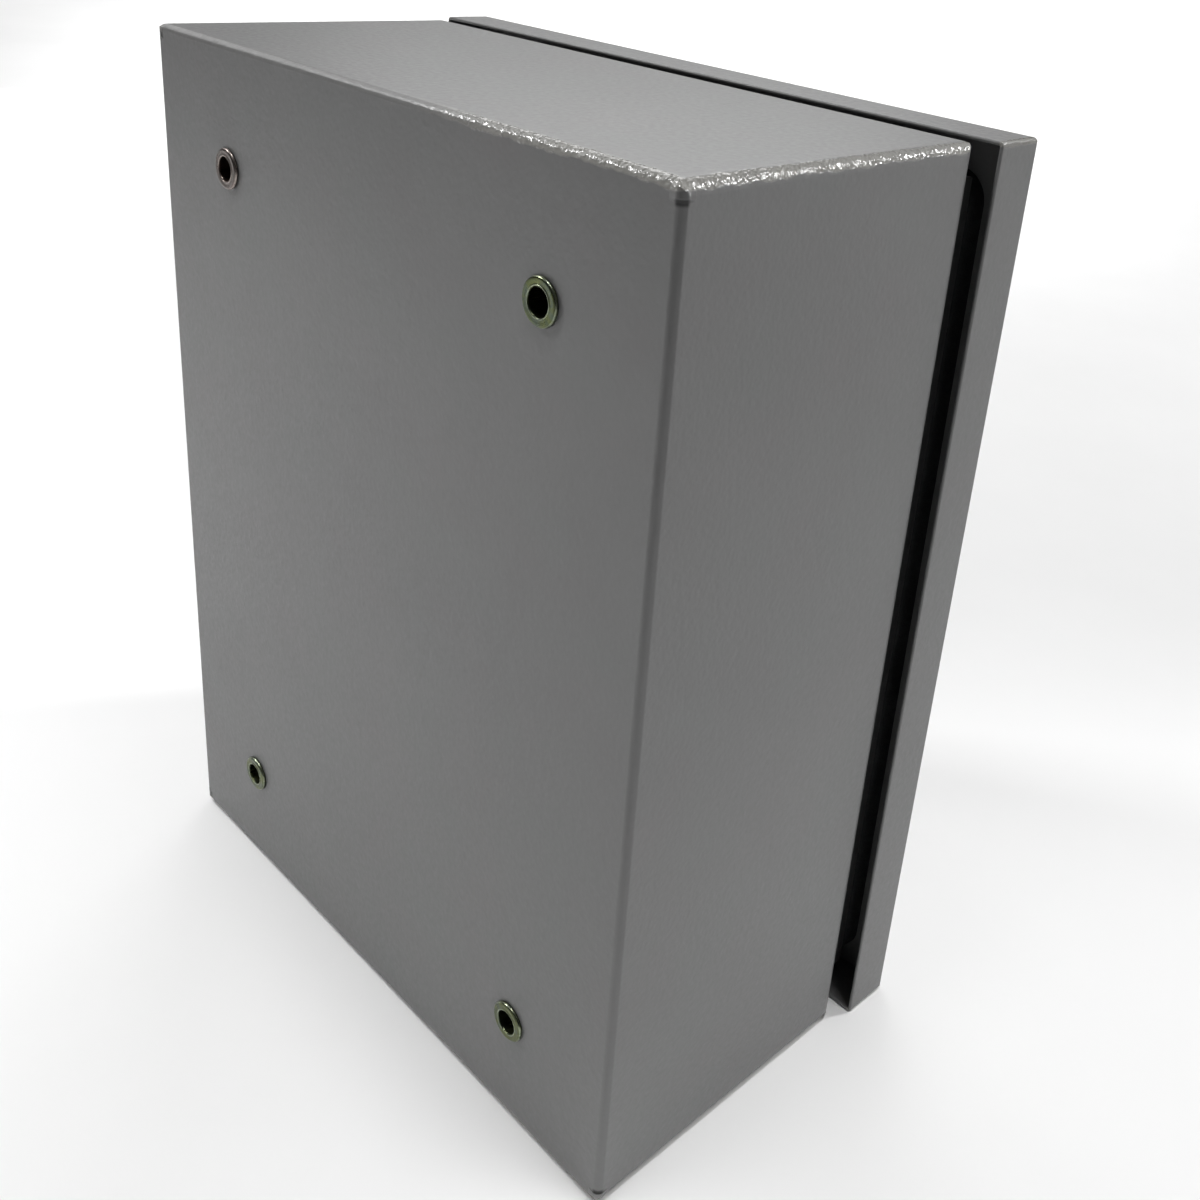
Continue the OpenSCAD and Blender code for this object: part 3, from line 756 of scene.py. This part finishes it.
for k in range(4):
    loop += pts[k]
    loop += leg(pts[k][-1], pts[(k + 1) % 4][0], 0.0035)[1:]
half = [(6.0, 0.0), (5.99, 1.2), (5.90, 3.0), (5.72, 4.8), (5.35, 6.3), (4.75, 7.4), (3.85, 8.2), (2.7, 8.66), (1.4, 8.90), (0.0, 8.97)]
prof = [(w, h) for w, h in half] + [(-w, h) for w, h in reversed(half[:-1])]
bm = bmesh.new()
rings = []
n = len(loop)
for k, p in enumerate(loop):
    t = (loop[(k + 1) % n] - loop[k - 1]).normalized()
    out = Vector((t.y, -t.x))
    s = 1.0 + 0.012 * noise.noise(Vector((p.x * 30, p.y * 30, 4.0)))
    ring = []
    for w, h in prof:
        w2 = w * MM * (0.985 if abs(w) > 5 else 1.0)
        hh_ = h * MM * (0.985 + 0.012 * noise.noise(Vector((p.x * 70 + w, p.y * 70, h))))
        q = p + out * (w2 * min(s, 1.0))
        ring.append(bm.verts.new((gcx + q.x, D_IN + min(hh_, GH), gcz + q.y)))
    rings.append(ring)
m = len(prof)
for k in range(n):
    p, q = rings[k], rings[(k + 1) % n]
    for j in range(m):
        l = (j + 1) % m
        bm.faces.new((p[j], p[l], q[l], q[j]))
bmesh.ops.recalc_face_normals(bm, faces=bm.faces[:])
seal = new_object("foamed_door_gasket", bm, M["rubber"], "door", "door_gasket")
smooth_normals([seal], 50.0)

# ------------------------------------------------------------------ threaded studs
def studs_piece(node, parts, body):
    """parts: list of functions that each add one stud to a bmesh."""
    bm = bmesh.new()
    for fn in parts:
        fn(bm)
    bmesh.ops.recalc_face_normals(bm, faces=bm.faces[:])
    o = new_object(node + "_threaded", bm, M["zinc_plated"], body, node)
    smooth_normals([o], 40.0)
    return o

def stud_at(b, axis, sign, r_major, pitch, shoulder=0.0):
    """Stud for one solid's box b; axis 1 or 2, sign of the free end; shoulder is the length of its thicker foot."""
    lo_, hi_ = b
    c = (lo_ + hi_) / 2
    foot = lo_[axis] if sign > 0 else hi_[axis]
    tip = hi_[axis] if sign > 0 else lo_[axis]
    o = [c[0], c[1], c[2]]
    o[axis] = foot
    d = [0, 0, 0]
    d[axis] = sign
    wide = (hi_ - lo_)[(axis + 1) % 3] / 2
    length = abs(tip - foot)
    def fn(bm):
        h0 = 0.0
        if shoulder:
            lathe(bm, o, d, [(0, 0), (wide - 0.00025, 0), (wide, 0.00025), (wide, shoulder - 0.00025),
                             (wide - 0.00025, shoulder), (0, shoulder)], 40)
            h0 = shoulder - 0.0003
        thread(bm, o, d, r_major, pitch, h0, length)
    return fn

p_lo, p_hi = box("mounting_plate")
sh = p_hi[1]                         # rear face of the plate: the shoulders end there
bs = islands("plate_studs")
studs_piece("plate_studs", [stud_at(b, 1, -1, 0.0039, 0.00125, abs(b[1][1] - sh)) for b in bs], "cabinet")
studs_piece("gland_studs", [stud_at(b, 2, 1, 0.00245, 0.0008) for b in islands("gland_studs")], "cabinet")
studs_piece("body_earth_stud", [stud_at(b, 2, 1, 0.00295, 0.001, 0.0015) for b in islands("body_earth_stud")], "cabinet")
fns = []
for b in islands("door_studs"):
    big = (b[1] - b[0])[0] > 0.006
    fns.append(stud_at(b, 1, 1, 0.00295 if big else 0.00195, 0.001 if big else 0.0007, 0.0015 if big else 0.0))
studs_piece("door_studs", fns, "door")

# hinge screws: countersunk heads with a hexagon socket
def hex_r(t, af):
    k = math.radians(60)
    return (af / 2) / math.cos(((t + k / 2) % k) - k / 2)

bm = bmesh.new()
for b in islands("hinge_body_screws"):
    lo_, hi_ = b
    c = (lo_ + hi_) / 2
    x1, x0 = hi_[0], lo_[0]
    segs = 36
    prof_ = [(2.30, 0.0), (2.45, 0.25), (2.45, (x1 - x0) * 1000 - 1.45), (4.00, (x1 - x0) * 1000 - 0.06), (3.90, (x1 - x0) * 1000)]
    rg = lathe(bm, (x0, c[1], c[2]), (1, 0, 0), [(0, 0)] + [(r * MM, h * MM) for r, h in prof_], segs)
    a, u, v = frame_for((1, 0, 0))
    top = Vector((x1, c[1], c[2]))
    rim = [bm.verts.new(top + (u * math.cos(2 * math.pi * k / segs) + v * math.sin(2 * math.pi * k / segs)) * hex_r(2 * math.pi * k / segs, 0.0030)) for k in range(segs)]
    low = [bm.verts.new(w.co - a * 0.0011) for w in rim]
    mid = bm.verts.new(top - a * 0.0015)
    for k in range(segs):
        l = (k + 1) % segs
        bm.faces.new((rg[-1][k], rg[-1][l], rim[l], rim[k]))
        bm.faces.new((rim[k], rim[l], low[l], low[k]))
        bm.faces.new((low[k], low[l], mid))
bmesh.ops.recalc_face_normals(bm, faces=bm.faces[:])
o = new_object("hinge_screws_socket_head", bm, M["zinc_plated"], "cabinet", "hinge_body_screws")
smooth_normals([o], 35.0)

# ------------------------------------------------------------------ the rest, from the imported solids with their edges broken
DONE = {"body_wrap", "top_panel", "bottom_panel", "door_panel", "wall_bushes", "door_gasket", "plate_studs",
        "gland_studs", "body_earth_stud", "door_studs", "hinge_body_screws"}
WIDTH = {"mounting_plate": 0.0004, "gland_plate": 0.0003, "lock_housing": 0.0003, "lock_rotor": 0.0002,
         "lock_cam": 0.0003, "gland_gasket": 0.0004, "upper_hinge_body_leaf": 0.0003, "lower_hinge_body_leaf": 0.0003,
         "upper_hinge_door_leaf": 0.0003, "lower_hinge_door_leaf": 0.0003}
for n in sorted(NODES):
    if n in DONE:
        continue
    mat = M[SLOT[n]]
    bm = cad_bm(n)
    round_edges(bm, WIDTH.get(n, 0.00015), 3, 40.0)
    if n.endswith("_leaf"):
        bmesh.ops.remove_doubles(bm, verts=bm.verts[:], dist=2e-5)
    o = new_object(n + "_skin", bm, mat, BODY_OF[n], n)
    smooth_normals([o])

# ------------------------------------------------------------------ floor and light
g = Graph("floor_material")
g.set(color=g.mix(g.remap(g.noise(3.0, 4.0, 0.6), 0.3, 0.7, 0.0, 1.0), (0.90, 0.90, 0.90), (0.93, 0.93, 0.93)), rough=0.9, spec=0.2)
bm = bmesh.new()
bmesh.ops.create_grid(bm, x_segments=2, y_segments=2, size=30.0)
me = bpy.data.meshes.new("floor")
bm.to_mesh(me)
bm.free()
me.materials.append(g.m)
floor = bpy.data.objects.new("floor", me)
floor.location = (0, 0, cad_box[0][2] - 0.0003)
scene.collection.objects.link(floor)

def from_sky(az, el, dist):
    a, e = math.radians(az), math.radians(el)
    d = Vector((math.cos(a) * math.cos(e), math.sin(a) * math.cos(e), math.sin(e)))
    return Vector((0, -0.08, 0)) + d * dist, d


# name: (place, direction the light comes from, size of the square panel, watts)
GL_B, GL_S = Vector((0.627, 0.384, 0.677)).normalized(), Vector((-0.384, -0.677, 0.627)).normalized()
PANELS = {
    "panel_rear_hinge": (*from_sky(0, 38, 2.2), 1.2, 7.6),
    "panel_rear_hinge_low": (*from_sky(0, 5, 2.2), 1.2, 2.1),
    "panel_front": (*from_sky(315, 38, 2.2), 1.2, 12.5),
    "panel_front_side": (*from_sky(270, 38, 2.2), 1.2, 2.9),
    "panel_side_low": (*from_sky(225, 5, 2.2), 1.2, 5.4),
    "lamp_rear": (Vector((0, -0.08, 0)) + GL_B * 2.4, GL_B, 0.3, 22.0),
    "lamp_side": (Vector((0, -0.08, 0)) + GL_S * 2.4, GL_S, 0.3, 22.0),
}
# name: (place over the floor, cone in degrees, watts)
SPOTS = {
    "floor_rear": ((0.0, 0.36, 2.0), 34.0, 64.0),
    "floor_side": ((-0.48, -0.12, 2.0), 34.0, 92.0),
    "floor_hinge_side": ((0.75, 0.55, 2.2), 50.0, 91.0),
    "floor_far_right": ((1.9, -4.4, 3.5), 100.0, 620.0),
    "floor_farther_right": ((3.6, -8.6, 4.5), 120.0, 1800.0),
    "floor_far_left": ((4.2, -2.0, 3.5), 100.0, 550.0),
    "floor_middle": ((1.9, -1.9, 3.0), 60.0, 280.0),
}

def add_light(name, data, place, came_from):
    o = bpy.data.objects.new(name, data)
    scene.collection.objects.link(o)
    o.location = place
    o.rotation_mode = "QUATERNION"
    o.rotation_quaternion = Vector(came_from).to_track_quat("Z", "Y")


for name, (place, came_from, size, power) in PANELS.items():
    ld = bpy.data.lights.new(name, "AREA")
    ld.shape = "SQUARE"
    ld.size = size
    ld.energy = power
    add_light(name, ld, place, came_from)
for name, (place, cone, power) in SPOTS.items():
    ld = bpy.data.lights.new(name, "SPOT")
    ld.spot_size = math.radians(cone)
    ld.spot_blend = 1.0
    ld.shadow_soft_size = 0.15
    ld.energy = power
    add_light(name, ld, place, (0, 0, 1))

world = bpy.data.worlds.new("world")
world.use_nodes = True
bg = world.node_tree.nodes["Background"]
bg.inputs["Color"].default_value = (1.0, 1.0, 1.0, 1.0)
bg.inputs["Strength"].default_value = 0.05
scene.world = world
scene.view_settings.view_transform = "Standard"
